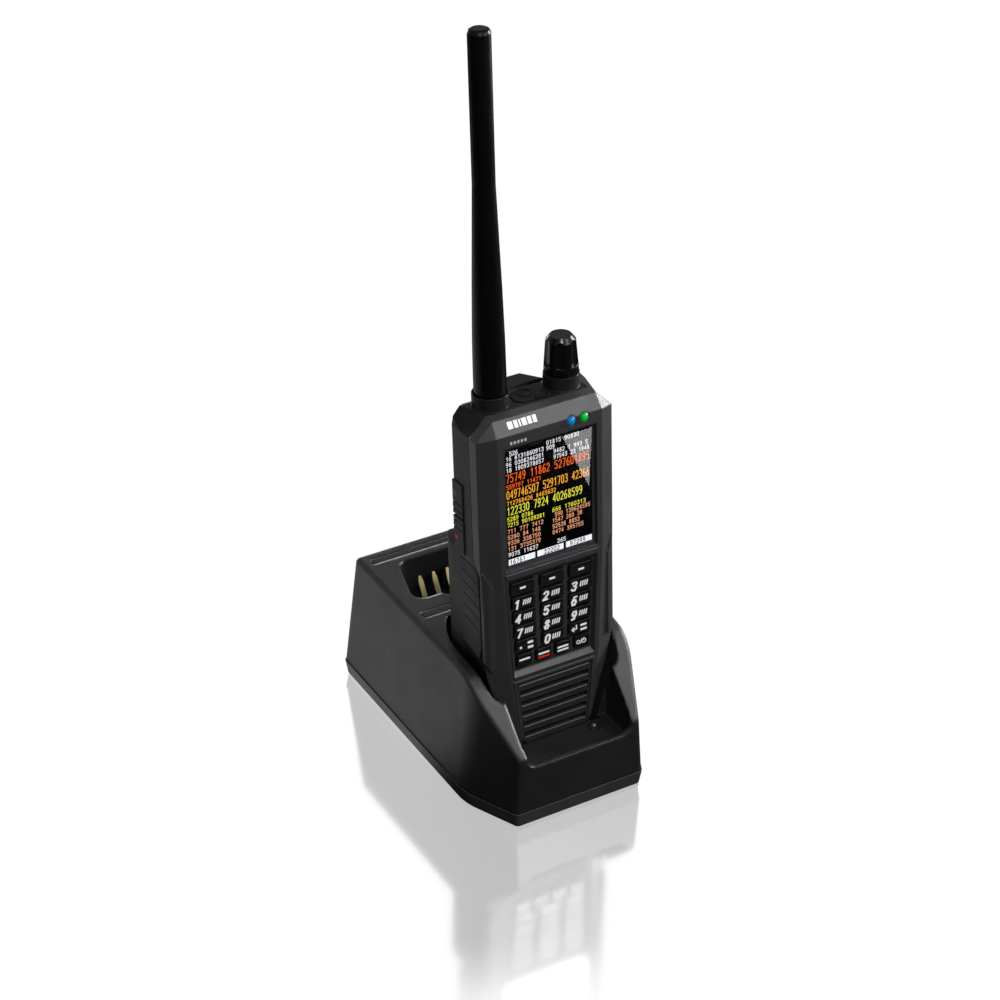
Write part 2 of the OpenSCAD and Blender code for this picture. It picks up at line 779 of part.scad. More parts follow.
module antenna_seal() {
  color("#0b0b0b") in_radio() translate([-post_x, post_d, 0]) difference() {
    translate([0, 0, 63]) cylinder(r = 5.6, h = 0.3);
    translate([0, 0, 62]) cylinder(r = 4.6, h = 3);
  }
}

// ---- knob ----
knob_low = 66.8;
knob_band = 69.8;
knob_top = 81.4;
flutes = 6;

module knob() {
  color("#151516") in_radio() translate([post_x, post_d, 0]) difference() {
    rotate_extrude() polygon([[0, knob_low], [6.6, knob_low], [6.6, 68.4], [5.75, 79.4],
                              [4.2, knob_top], [0, knob_top]]);
    for (i = [0 : flutes - 1]) rotate([0, 0, i * 360 / flutes + 27])
      translate([0, -10.6, knob_band]) rotate([-2.4, 0, 0]) cylinder(r = 5, h = 20);
    translate([0, 0, knob_low - 1]) cylinder(r = 2.92, h = 9);
    translate([0, 0, knob_low - 1]) cylinder(r = 5.4, h = 3.2);
  }
}

module knob_shaft() {
  color("#b9bcc0") in_radio() translate([post_x, post_d, 0]) {
    translate([0, 0, 57]) cylinder(r = 2, h = 12);
    translate([0, 0, 68]) cylinder(r = 2.9, h = 6);
  }
}

module knob_encoder() {
  color("#9a9da1") in_radio() difference() {
    union() {
      translate([post_x - 6, post_d - 4.8, 48]) cube([12, 8.8, 7]);
      translate([post_x, post_d, 54]) cylinder(r = 3.4, h = 11.5);
    }
    translate([post_x, post_d, 52.5]) cylinder(r = 2.06, h = 20);
  }
}

// ---- headphone jack under its cover ----
jack_d = 16.4;
hinge_d = 20.7;
hinge_h = 61.2;
hinge_r = 0.7;

module cover_plan(grow = 0) {
  polygon([[-6.4 - grow, 20.6 + grow], [-6.9 - grow, 13.6], [-4.6 - grow, 11 - grow],
           [5.4 + grow, 11 - grow], [6.6 + grow, 12.4], [6.6 + grow, 18.6], [4.6 + grow, 21.4 + grow],
           [-5.6 - grow, 21.4 + grow]]);
}

module jack_cover() {
  color("#121213") in_radio() {
    difference() {
      translate([0, 0, body_top - 1.4]) linear_extrude(height = 1.7) cover_plan();
      translate([-10, hinge_d, body_top - 5]) cube([20, 5, 10]);
    }
    // Hinge barrel along the rear edge.
    translate([-5.2, hinge_d, hinge_h]) rotate([0, 90, 0]) cylinder(r = hinge_r, h = 9.6);
    translate([0, jack_d, body_top - 3.2]) cylinder(r = 2.2, h = 2);
    translate([1, 11.1, body_top - 0.2]) cube([4, 1.2, 1.1]);
    translate([-0.6, jack_d + 1.1, body_top]) difference() {
      cylinder(r = 2.9, h = 0.6);
      translate([0, 0, -1]) cylinder(r = 2.3, h = 3);
    }
  }
}

module headphone_jack() {
  color("#232325") in_radio() difference() {
    union() {
      translate([0, jack_d, 45.5]) cylinder(r = 3, h = 12.3);
      translate([-4, jack_d - 3.2, 42]) cube([8, 6.4, 6]);
    }
    translate([0, jack_d, 43.5]) cylinder(r = 1.8, h = 20);
  }
}

// ---- battery pack ----
pack_r = 11.6;
cell_r = 8.2;

module battery_pack() {
  pack_front = [[27.8, 0.4], [27.8, -44], [27, -50], [24.9, -58.5], [22.5, -65.5],
                [20.3, -73], [18.7, -80.5], [17, -86]];
  color("#1a1a1b") in_radio() difference() {
    intersection() {
      deep(seat_d + 0.1, pack_rear_d) polygon(both(pack_front));
      translate([0, 0, -90]) linear_extrude(height = 100) {
        for (s = [-1, 1]) translate([s * 16.2, pack_rear_d - pack_r]) circle(r = pack_r);
        translate([-16.2, 15]) square([32.4, pack_rear_d - 15]);
        translate([-27.8, 15]) square([55.6, pack_rear_d - pack_r - 15]);
      }
      across(90) polygon([[15, 10], [32, 10], [pack_rear_d + 1, -8], [pack_rear_d + 1, -80],
                          [36, -86], [15, -86]]);
    }
    deep(15, 21.8) polygon(both([[25, -3], [25, -45], [17, -70]]));
    for (i = [-1 : 1]) translate([i * 17, 29.6, -45]) cylinder(r = cell_r + 0.3, h = 41);
    deep(15, 29.6) polygon(both([[24.6, -4], [24.6, -45]]));
    for (i = [-1.5 : 1.5]) translate([i * contact_pitch - 1.6, 26.4, -87])
      cube([3.2, 7.2, 1.5]);
  }
}

module battery_cells() {
  color("#3f6ea8") in_radio() for (i = [-1 : 1]) translate([i * 17, 29.6, -44]) {
    cylinder(r = cell_r, h = 38);
    cylinder(r = 3, h = 39);
  }
}

module battery_contacts() {
  color("#d9bd74") in_radio() for (i = [-1.5 : 1.5])
    translate([i * contact_pitch - 1.5, 26.5, -85.9]) cube([3, 7, 0.4]);
}

module case_screws() {
  color("#85888c") in_radio() at_screws(7) difference() {
    union() {
      translate([0, 0, 16.65]) cylinder(r = 2.1, h = 1.1);
      cylinder(r = 1.1, h = 17);
    }
    translate([0, 0, 17.1]) cylinder(r = 1, h = 2, $fn = 6);
  }
}

// ---- the keys, by row and column ----
module key_soft_1() {
  color(key_color) key_cap(0, 0);
}

module key_soft_2() {
  color(key_color) key_cap(0, 1);
}

module key_soft_3() {
  color(key_color) key_cap(0, 2);
}

module key_1() {
  color(key_color) key_cap(1, 0);
}

module key_2() {
  color(key_color) key_cap(1, 1);
}

module key_3() {
  color(key_color) key_cap(1, 2);
}

module key_4() {
  color(key_color) key_cap(2, 0);
}

module key_5() {
  color(key_color) key_cap(2, 1);
}

module key_6() {
  color(key_color) key_cap(2, 2);
}

module key_7() {
  color(key_color) key_cap(3, 0);
}

module key_8() {
  color(key_color) key_cap(3, 1);
}

module key_9() {
  color(key_color) key_cap(3, 2);
}

module key_point() {
  color(key_color) key_cap(4, 0);
}

module key_0() {
  color(key_color) key_cap(4, 1);
}

module key_enter() {
  color(key_color) key_cap(4, 2);
}

module key_low_1() {
  color(key_color) key_cap(5, 0);
}

module key_low_2() {
  color(key_color) key_cap(5, 1);
}

module key_low_3() {
  color(key_color) key_cap(5, 2);
}

module key_low_4() {
  color(key_color) key_cap(5, 3);
}

module light_blue() {
  color("#2f9be8") indicator(lights_x[0]);
}

module light_green() {
  color("#2fd768") indicator(lights_x[1]);
}

module side_button_upper() {
  side_button(button_h[0]);
}

module side_button_lower() {
  side_button(button_h[1]);
}

// ================= drawing =================
cradle_housing();
cradle_base();
rubber_feet();
base_screws();
top_inlays();
charger_board();
charger_coil();
charger_capacitors();
power_inlet();
bay_contact_block();
bay_contacts();
pocket_contact_block();
pocket_contacts();
charge_light();
charge_light_ring();
front_shell();
rear_shell();
display_window();
display_panel();
main_board();
keypad_mat();
key_soft_1();
key_soft_2();
key_soft_3();
key_1();
key_2();
key_3();
key_4();
key_5();
key_6();
key_7();
key_8();
key_9();
key_point();
key_0();
key_enter();
key_low_1();
key_low_2();
key_low_3();
key_low_4();
speaker();
speaker_grille();
light_blue();
light_green();
side_button_upper();
side_button_lower();
side_grips();
antenna();
antenna_socket();
antenna_seal();
knob();
knob_shaft();
knob_encoder();
jack_cover();
headphone_jack();
battery_pack();
battery_cells();
battery_contacts();
case_screws();
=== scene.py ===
"""Looks for the handheld radio scanner in its desktop charging cradle.

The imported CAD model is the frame. This script gives every node a procedural
material and adds the fine things that lie on it: what the display shows, the
marks on the keys, the bevel, the face and the side buttons, and the serrated
louvres of the speaker grille. The floor, the lights and the camera follow.
"""

import json
import math
import random

import bpy
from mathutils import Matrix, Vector


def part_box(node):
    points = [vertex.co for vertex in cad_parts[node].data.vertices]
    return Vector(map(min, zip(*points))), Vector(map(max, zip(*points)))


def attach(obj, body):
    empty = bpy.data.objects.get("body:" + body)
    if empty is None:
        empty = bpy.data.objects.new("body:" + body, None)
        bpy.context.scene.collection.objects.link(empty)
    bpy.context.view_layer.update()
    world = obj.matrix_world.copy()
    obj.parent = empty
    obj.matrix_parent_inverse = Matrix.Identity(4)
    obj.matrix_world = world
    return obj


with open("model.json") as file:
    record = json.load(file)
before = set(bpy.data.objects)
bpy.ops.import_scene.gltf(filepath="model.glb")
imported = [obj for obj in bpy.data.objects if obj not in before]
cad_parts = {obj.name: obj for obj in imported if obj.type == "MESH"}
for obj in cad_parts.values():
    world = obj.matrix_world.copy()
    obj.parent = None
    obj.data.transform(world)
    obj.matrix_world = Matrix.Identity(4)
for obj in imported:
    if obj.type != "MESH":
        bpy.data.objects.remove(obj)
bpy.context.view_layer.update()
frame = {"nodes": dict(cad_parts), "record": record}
nodes = frame["nodes"]
joints = {j["name"]: j for j in frame["record"]["behaviour"]["joints"]}
scene = bpy.context.scene

MM = 0.001

# ---------------------------------------------------------------- radio frame
# x across, d into the body from its face, h up along it, all in millimetres.
UP = Vector(joints["radio_lift"]["axis"]).normalized()
DEEP = Vector(joints["key_5_press"]["axis"]).normalized()
ACROSS = DEEP.cross(UP)
ANTENNA_AXIS = (-15.15, 17.0, 70.0)
ORIGIN = (
    Vector(joints["antenna_turn"]["pos_m"])
    - (ACROSS * ANTENNA_AXIS[0] + DEEP * ANTENNA_AXIS[1] + UP * ANTENNA_AXIS[2]) * MM
)


def at(x, d, h):
    """World place of a point in the radio's frame."""
    return ORIGIN + (ACROSS * x + DEEP * d + UP * h) * MM


# --------------------------------------------------------------- shader nodes
def node(tree, kind, **sockets):
    """A shader node with the given values on its sockets."""
    made = tree.nodes.new("ShaderNode" + kind)
    for name, value in sockets.items():
        made.inputs[name.replace("_", " ")].default_value = value
    return made


def grey(value):
    return (value, value, value, 1.0)


def mapped(tree, source, start, end, low, high, smooth=False):
    """What source gives, with its stretch from start to end turned into low to high."""
    made = node(tree, "MapRange", From_Min=start, From_Max=end, To_Min=low, To_Max=high)
    if smooth:
        made.interpolation_type = "SMOOTHSTEP"
    tree.links.new(source, made.inputs["Value"])
    return made.outputs["Result"]


def combined(tree, operation, first, second):
    made = tree.nodes.new("ShaderNodeMath")
    made.operation = operation
    tree.links.new(first, made.inputs[0])
    tree.links.new(second, made.inputs[1])
    return made


def times(tree, first, second):
    return combined(tree, "MULTIPLY", first, second).outputs["Value"]


def mixed(tree, share, first, second):
    """The first shader where share is 0, the second where it is 1."""
    made = tree.nodes.new("ShaderNodeMixShader")
    for socket, source in zip(made.inputs, (share, first, second)):
        tree.links.new(source, socket)
    return made.outputs["Shader"]


def light_path(tree, output):
    return tree.nodes.new("ShaderNodeLightPath").outputs[output]


def bare(owner):
    """An emptied node tree of a material or a world."""
    owner.use_nodes = True
    owner.node_tree.nodes.clear()
    return owner.node_tree


# ------------------------------------------------------------------ materials
BLOTCHES = 55.0  # patches of uneven tone, per metre
SMEARS = 70.0  # patches of uneven gloss on glass, per metre
FLICKER = 900.0  # patches of uneven brightness, per metre
COAT_ROUGH = 0.12
UNEVEN_ROUGH = 0.12
UNEVEN_LIGHT = 0.15
# The cosine of the softened normal's turn where the paler edge (partly rubbing, partly a painted
# highlight) starts, and where it is full.
PALE_EDGE_START, PALE_EDGE_FULL = 0.995, 0.9


def finish(
    name,
    color,
    rough,
    metal=0.0,
    specular=0.5,
    grain=0.00018,
    depth=0.000012,
    vary=0.12,
    edge=0.00025,
    wear_and_highlight=0.35,
    polished=0.45,
    coat=0.0,
    brushed=(1, 1, 1),
):
    """A surface with moulded or brushed grain, uneven tone, softened edges, and paler corners that
    are partly rubbing and partly a painted highlight.

    grain and depth are the grain's width and height and edge is a corner's radius, in metres.
    Corners are paler by the share wear, as from rubbing and as a painted highlight along them, and
    smoother by the share polished.
    """
    mat = bpy.data.materials.new(name)
    mat.use_nodes = True
    tree = mat.node_tree
    link = tree.links.new
    shader = tree.nodes["Principled BSDF"]
    shader.inputs["Metallic"].default_value = metal
    shader.inputs["Specular IOR Level"].default_value = specular
    shader.inputs["Coat Weight"].default_value = coat
    shader.inputs["Coat Roughness"].default_value = COAT_ROUGH

    place = tree.nodes.new("ShaderNodeTexCoord").outputs["Object"]
    stretch = node(tree, "Mapping", Scale=brushed)
    link(place, stretch.inputs["Vector"])
    fine = node(tree, "TexNoise", Scale=1 / grain, Detail=2.0, Roughness=0.6)
    link(stretch.outputs["Vector"], fine.inputs["Vector"])
    broad = node(tree, "TexNoise", Scale=BLOTCHES, Detail=4.0, Roughness=0.6)
    link(place, broad.inputs["Vector"])
    patches = broad.outputs["Fac"]

    soft = node(tree, "Bevel", Radius=edge)
    soft.samples = 6
    bump = node(tree, "Bump", Strength=1.0, Distance=depth)
    link(fine.outputs["Fac"], bump.inputs["Height"])
    link(soft.outputs["Normal"], bump.inputs["Normal"])
    link(bump.outputs["Normal"], shader.inputs["Normal"])

    tone = tree.nodes.new("ShaderNodeMix")
    tone.data_type = "RGBA"
    tone.inputs["A"].default_value = [c * (1 - vary) for c in color] + [1.0]
    tone.inputs["B"].default_value = [min(1.0, c * (1 + vary)) for c in color] + [1.0]
    link(patches, tone.inputs["Factor"])
    low, high = rough * (1 - UNEVEN_ROUGH), rough * (1 + UNEVEN_ROUGH)
    roughness = mapped(tree, patches, 0.3, 0.7, low, high)
    if not wear_and_highlight:
        link(tone.outputs["Result"], shader.inputs["Base Color"])
        link(roughness, shader.inputs["Roughness"])
        return mat

    # Where the softened normal turns away from the flat one there is an edge, painted paler partly
    # as rubbing and partly as a painted highlight.
    flat = tree.nodes.new("ShaderNodeNewGeometry")
    turn = tree.nodes.new("ShaderNodeVectorMath")
    turn.operation = "DOT_PRODUCT"
    link(soft.outputs["Normal"], turn.inputs[0])
    link(flat.outputs["Normal"], turn.inputs[1])
    rubbed_and_highlit_edge = mapped(tree, turn.outputs["Value"], PALE_EDGE_START, PALE_EDGE_FULL, 0.0, wear_and_highlight)
    # Paler edge colour: partly rubbing, partly a painted highlight along the edge.
    worn_and_highlit = tree.nodes.new("ShaderNodeMix")
    worn_and_highlit.data_type = "RGBA"
    worn_and_highlit.inputs["B"].default_value = [min(1.0, c * 1.6 + 0.02) for c in color] + [1.0]
    link(times(tree, rubbed_and_highlit_edge, patches), worn_and_highlit.inputs["Factor"])
    link(tone.outputs["Result"], worn_and_highlit.inputs["A"])
    link(worn_and_highlit.outputs["Result"], shader.inputs["Base Color"])
    # Rubbed edges are smoother too, so they catch the light.
    polish = mapped(tree, rubbed_and_highlit_edge, 0.0, wear_and_highlight, 1.0, 1.0 - polished)
    link(times(tree, roughness, polish), shader.inputs["Roughness"])
    return mat


IMAGE_GLOW = 0.12  # how strongly glowing things light what mirrors them
LENS_BRIGHT, LENS_DIM = 0.0004, 0.0021  # distances from a lens's apex, in metres
LENS_RIM = 0.15  # brightness at a lens's rim


def glowing(name, color, strength, rough=0.3, body=0.08, apex=None):
    """A lit surface with a slight unevenness of brightness; body is its share of plain colour.

    With an apex it is a lens, which is darker away from that point.
    """
    mat = finish(name, [c * body for c in color], rough, grain=0.0004, depth=0.000002, wear_and_highlight=0.0)
    tree = mat.node_tree
    shader = tree.nodes["Principled BSDF"]
    shader.inputs["Emission Color"].default_value = (*color, 1.0)
    place = tree.nodes.new("ShaderNodeTexCoord").outputs["Object"]
    uneven = node(tree, "TexNoise", Scale=FLICKER, Detail=1.0)
    tree.links.new(place, uneven.inputs["Vector"])
    low, high = strength * (1 - UNEVEN_LIGHT), strength * (1 + UNEVEN_LIGHT)
    level = mapped(tree, uneven.outputs["Fac"], 0.0, 1.0, low, high)
    # Its image in the glossy floor is only faint.
    direct = mapped(tree, light_path(tree, "Is Camera Ray"), 0.0, 1.0, IMAGE_GLOW, 1.0)
    level = times(tree, level, direct)
    if apex is not None:
        away = tree.nodes.new("ShaderNodeVectorMath")
        away.operation = "DISTANCE"
        away.inputs[1].default_value = apex
        tree.links.new(place, away.inputs[0])
        dimmer = mapped(tree, away.outputs["Value"], LENS_BRIGHT, LENS_DIM, 1.0, LENS_RIM)
        level = times(tree, level, dimmer)
    tree.links.new(level, shader.inputs["Emission Strength"])
    return mat


def clear(name, color, rough):
    """Clear plastic that is too thin to bend what is seen through it."""
    mat = bpy.data.materials.new(name)
    tree = bare(mat)
    link = tree.links.new
    through = node(tree, "BsdfTransparent", Color=(*color, 1.0))
    gloss = node(tree, "BsdfGlossy", Color=grey(1.0))
    place = tree.nodes.new("ShaderNodeTexCoord").outputs["Object"]
    smear = node(tree, "TexNoise", Scale=SMEARS, Detail=5.0, Roughness=0.65)
    link(place, smear.inputs["Vector"])
    link(
        mapped(tree, smear.outputs["Fac"], 0.35, 0.75, rough * 0.5, rough * 2.5),
        gloss.inputs["Roughness"],
    )
    # Only the outer side mirrors.
    facing = node(tree, "Fresnel", IOR=1.45)
    side = tree.nodes.new("ShaderNodeNewGeometry")
    outer = combined(tree, "SUBTRACT", facing.outputs["Fac"], side.outputs["Backfacing"])
    outer.use_clamp = True
    surface = mixed(tree, outer.outputs["Value"], through.outputs["BSDF"], gloss.outputs["BSDF"])
    link(surface, tree.nodes.new("ShaderNodeOutputMaterial").inputs["Surface"])
    return mat


LENS_D, LENS_H = -1.0, 54.5


def lens_apex(name):
    """The outermost point of an indicator's dome, in its node's own coordinates."""
    low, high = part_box(name)
    return nodes[name].matrix_world.inverted() @ at((low.x + high.x) / 2 / MM, LENS_D, LENS_H)


# ---- moulded plastic ----
housing = finish(
    "housing", (0.015, 0.015, 0.0155), 0.38, specular=0.38,
    grain=0.0004, depth=0.00014, edge=0.0018, wear_and_highlight=0.5, polished=0.65,
)
base_mat = finish(
    "base", (0.045, 0.045, 0.046), 0.45, edge=0.0002, wear_and_highlight=0.1, polished=0.1
)
shell = finish(
    "shell", (0.030, 0.030, 0.031), 0.4, specular=0.38,
    grain=0.0004, depth=0.0001, edge=0.0007, wear_and_highlight=0.4, polished=0.6,
)
rear_mat = finish(
    "rear", (0.008, 0.008, 0.0085), 0.42, specular=0.16,
    grain=0.0004, depth=0.00005, edge=0.0005, polished=0.6,
)
pack_mat = finish("pack", (0.022, 0.022, 0.023), 0.5, specular=0.2, edge=0.0004)
louvre = finish("louvre", (0.018, 0.018, 0.019), 0.4, specular=0.38, edge=0.0002)
inlay = finish("inlay", (0.012, 0.012, 0.012), 0.35, specular=0.45, edge=0.0002)
dark_block = finish("dark_block", (0.006, 0.006, 0.006), 0.55, specular=0.3, edge=0.00015)
knob_mat = finish(
    "knob_black", (0.003, 0.003, 0.003), 0.24, specular=0.25,
    grain=0.0003, depth=0.000003, edge=0.0003,
)
lens = finish(
    "lens", (0.03, 0.03, 0.032), 0.12, specular=1.0, grain=0.001, depth=0.000001, wear_and_highlight=0.0
)
window = clear("window", (0.97, 0.98, 1.0), 0.004)

# ---- rubber ----
key_mat = finish(
    "key", (0.006, 0.006, 0.006), 0.34, specular=0.45, grain=0.0002, depth=0.000006, edge=0.0003
)
grip = finish("grip", (0.024, 0.024, 0.025), 0.62, specular=0.35, edge=0.00015)
side_key = finish("side_key", (0.016, 0.016, 0.016), 0.6, specular=0.35, edge=0.00015)
whip = finish(
    "whip", (0.002, 0.002, 0.002), 0.3, specular=0.15, grain=0.0006, depth=0.000004, edge=0.0004
)
cover_mat = finish("cover", (0.004, 0.004, 0.004), 0.45, specular=0.15, edge=0.00015)
rubber = finish(
    "rubber_foot", (0.012, 0.012, 0.012), 0.8, specular=0.3, grain=0.0004, depth=0.00003
)
silicone = finish("silicone", (0.05, 0.05, 0.055), 0.6)

# ---- metal ----
gold = finish(
    "gilt", (1.0, 0.77, 0.38), 0.36, metal=0.75, grain=0.0006, depth=0.00002, vary=0.2,
    edge=0.0001, brushed=(3.0, 3.0, 0.5),
)
brass = finish("brass", (0.72, 0.55, 0.26), 0.3, metal=1.0, grain=0.0004, depth=0.00001)
steel = finish(
    "steel", (0.55, 0.56, 0.58), 0.32, metal=1.0, grain=0.0003, depth=0.000008, brushed=(1, 1, 6)
)
dark_steel = finish(
    "dark_steel", (0.12, 0.12, 0.13), 0.35, metal=1.0, grain=0.0003, depth=0.000008
)
alloy = finish(
    "alloy", (0.7, 0.71, 0.72), 0.3, metal=1.0, grain=0.0003, depth=0.000008, brushed=(1, 1, 8)
)
copper = finish(
    "winding", (0.72, 0.32, 0.16), 0.35, metal=0.9, grain=0.0003, depth=0.00004,
    brushed=(0.1, 0.1, 3.0),
)

# ---- what is inside, and the display ----
board = finish("board", (0.02, 0.14, 0.06), 0.4, grain=0.0009, depth=0.00002, coat=0.3)
sleeve = finish("sleeve", (0.04, 0.05, 0.14), 0.3, coat=0.4)
cell = finish("cell_sleeve_look", (0.06, 0.2, 0.5), 0.3, coat=0.4)
cone = finish("cone", (0.09, 0.09, 0.1), 0.45, metal=0.3, grain=0.0005, depth=0.00002)
screen = finish(
    "screen", (0.001, 0.001, 0.0012), 0.25, specular=0.2, grain=0.0004, depth=0.0, vary=0.3,
    wear_and_highlight=0.0,
)
blue_lamp = glowing(
    "blue_lamp", (0.0, 0.2, 0.52), 0.7, rough=0.12, body=0.5, apex=lens_apex("light_blue")
)
green_lamp = glowing(
    "green_lamp", (0.0, 0.42, 0.03), 0.8, rough=0.12, body=0.5, apex=lens_apex("light_green")
)

# ---- paint and legends ----
paint = finish(
    "paint", (0.8, 0.8, 0.78), 0.45, grain=0.0002, depth=0.000004, wear_and_highlight=0.0, vary=0.06
)
red_paint = finish("red_paint", (0.62, 0.03, 0.03), 0.45, grain=0.0002, depth=0.000004, wear_and_highlight=0.0)
green_paint = finish("green_paint", (0.03, 0.22, 0.06), 0.5, grain=0.0002, depth=0.000004, wear_and_highlight=0.0)
# Grey print for the face, given a painted glow: it emits light though it is no lamp.
grey_print_painted_glow = glowing("grey_print_painted_glow", (0.62, 0.62, 0.62), 0.3, rough=0.5, body=0.4)
legend = glowing("legend", (0.86, 0.86, 0.86), 0.68)
red_legend = glowing("red_legend", (0.6, 0.02, 0.02), 0.6, body=0.1)
pixels = {
    "white": glowing("pixel_white", (0.95, 0.95, 0.95), 1.0),
    "orange": glowing("pixel_orange", (1.0, 0.13, 0.01), 1.1),
    "gold": glowing("pixel_gold", (1.0, 0.42, 0.03), 1.1),
    "yellow": glowing("pixel_yellow", (0.9, 0.85, 0.06), 1.0),
    "salmon": glowing("pixel_salmon", (0.95, 0.42, 0.22), 0.95),
}

# The keys aren't listed: they take key_mat.
looks = {
    "cradle_housing": housing, "cradle_base": base_mat, "rubber_feet": rubber,
    "base_screws": steel, "top_inlays": inlay, "charger_board": board, "charger_coil": copper,
    "charger_capacitors": sleeve, "power_inlet": cover_mat, "bay_contact_block": dark_block,
    "bay_contacts": gold, "pocket_contact_block": dark_block, "pocket_contacts": gold,
    "charge_light": lens, "charge_light_ring": dark_block, "front_shell": shell,
    "rear_shell": rear_mat, "display_window": window, "display_panel": screen,
    "main_board": board, "keypad_mat": silicone, "speaker": cone, "speaker_grille": louvre,
    "light_blue": blue_lamp, "light_green": green_lamp, "side_button_upper": side_key,
    "side_button_lower": side_key, "side_grips": grip, "antenna": whip,
    "antenna_socket": brass, "antenna_seal": cover_mat, "knob": knob_mat, "knob_shaft": alloy,
    "knob_encoder": steel, "jack_cover": cover_mat, "headphone_jack": dark_block,
    "battery_pack": pack_mat, "battery_cells": cell, "battery_contacts": gold,
    "case_screws": dark_steel,
}
for name, thing in nodes.items():
    for slot in thing.material_slots:
        slot.material = looks.get(name, key_mat)

# ------------------------------------------------------- marks on the surfaces
# Strokes of each digit, in shares of its width and height.
DIGITS = {
    "0": [[(0.3, 0), (0.7, 0), (1, 0.25), (1, 0.75), (0.7, 1), (0.3, 1), (0, 0.75), (0, 0.25),
           (0.3, 0)]],
    "1": [[(0.2, 0.8), (0.6, 1), (0.6, 0)]],
    "2": [[(0, 0.8), (0.3, 1), (0.7, 1), (1, 0.8), (1, 0.6), (0, 0), (1, 0)]],
    "3": [[(0, 0.9), (0.3, 1), (0.8, 1), (1, 0.8), (0.8, 0.54), (0.4, 0.54)],
          [(0.8, 0.54), (1, 0.3), (0.8, 0), (0.3, 0), (0, 0.12)]],
    "4": [[(0.75, 0), (0.75, 1), (0, 0.3), (1, 0.3)]],
    "5": [[(1, 1), (0.1, 1), (0.05, 0.58), (0.7, 0.6), (1, 0.35), (0.8, 0), (0.3, 0), (0, 0.12)]],
    "6": [[(0.9, 1), (0.4, 0.95), (0, 0.4), (0.2, 0), (0.8, 0), (1, 0.3), (0.8, 0.55), (0.1, 0.5)]],
    "7": [[(0, 1), (1, 1), (0.4, 0)]],
    "8": [[(0.5, 0.54), (0.1, 0.75), (0.3, 1), (0.7, 1), (0.9, 0.75), (0.5, 0.54), (0, 0.25),
           (0.25, 0), (0.75, 0), (1, 0.25), (0.5, 0.54)]],
    "9": [[(0.1, 0), (0.6, 0.05), (1, 0.6), (0.8, 1), (0.2, 1), (0, 0.7), (0.2, 0.45), (0.9, 0.5)]],
    " ": [],
}
RING_STEPS = 16


def new_mesh(name, points, faces, look):
    mesh = bpy.data.meshes.new(name)
    mesh.from_pydata([tuple(p) for p in points], [], faces)
    mesh.update()
    mesh.materials.append(look)
    made = bpy.data.objects.new(name, mesh)
    scene.collection.objects.link(made)
    return made


def add_piece(name, points, faces, body, look):
    """A piece that rides on a body of the model."""
    made = new_mesh(name, points, faces, look)
    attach(made, body)


class Marks:
    """Flat strokes with a little thickness, drawn on a surface of the radio.

    The surface gives the world place of (x, h, distance out), in millimetres.
    """

    def __init__(self, surface, thick):
        self.surface = surface
        self.thick = thick
        self.points = []
        self.faces = []

    def prism(self, outline):
        """outline is a convex loop of (x, h) points."""
        start, count = len(self.points), len(outline)
        for side in (0.0, self.thick):
            self.points += [self.surface(x, h, side) for x, h in outline]
        front = [start + i for i in range(count)]
        back = [start + count + i for i in range(count)]
        self.faces += [back, front[::-1]]
        for i in range(count):
            j = (i + 1) % count
            self.faces.append([front[i], front[j], back[j], back[i]])

    def bar(self, x0, h0, x1, h1):
        self.prism([(x0, h0), (x1, h0), (x1, h1), (x0, h1)])

    def line(self, a, b, width):
        """A stroke with square ends that stand out half its width."""
        dx, dh = b[0] - a[0], b[1] - a[1]
        long = math.hypot(dx, dh)
        px, ph = dx / long * width / 2, dh / long * width / 2
        self.prism(
            [
                (a[0] - px + ph, a[1] - ph - px),
                (b[0] + px + ph, b[1] + ph - px),
                (b[0] + px - ph, b[1] + ph + px),
                (a[0] - px - ph, a[1] - ph + px),
            ]
        )

    def path(self, points, width):
        for a, b in zip(points, points[1:]):
            self.line(a, b, width)

    def digit(self, char, x, h, wide, tall, width, slant=0.0):
        for stroke in DIGITS[char]:
            placed = [(x + px * wide + slant * ph * tall, h + ph * tall) for px, ph in stroke]
            self.path(placed, width)

    def write(self, text, x, h, wide, tall, pitch, width):
        for i, char in enumerate(text):
            self.digit(char, x + i * pitch, h, wide, tall, width)

    def ring(self, x, h, radius, width, start=0.0, turn=360.0):
        angles = [math.radians(start + turn * i / RING_STEPS) for i in range(RING_STEPS + 1)]
        self.path([(x + radius * math.cos(a), h + radius * math.sin(a)) for a in angles], width)

    def make(self, name, body, look, slot):
        add_piece(name, self.points, self.faces, body, look)


def face_at(depth):
    """A surface parallel to the radio's face."""
    return lambda x, h, out: at(x, depth - out, h)


# ---- what the display shows: rows of plain numbers in several colours ----
random.seed(7)
SCREEN_WIDE = 36.7
SCREEN_TALL = SCREEN_WIDE * 4 / 3
SCREEN_LEFT = -SCREEN_WIDE / 2
PANEL_D = 1.25
PIXEL_THICK = 0.03
SMALL, LARGE = 1.6, 3.3
STROKES = {SMALL: 0.22, LARGE: 0.3}
DIGIT_SHARE = 0.62  # a digit's width as a share of the pitch
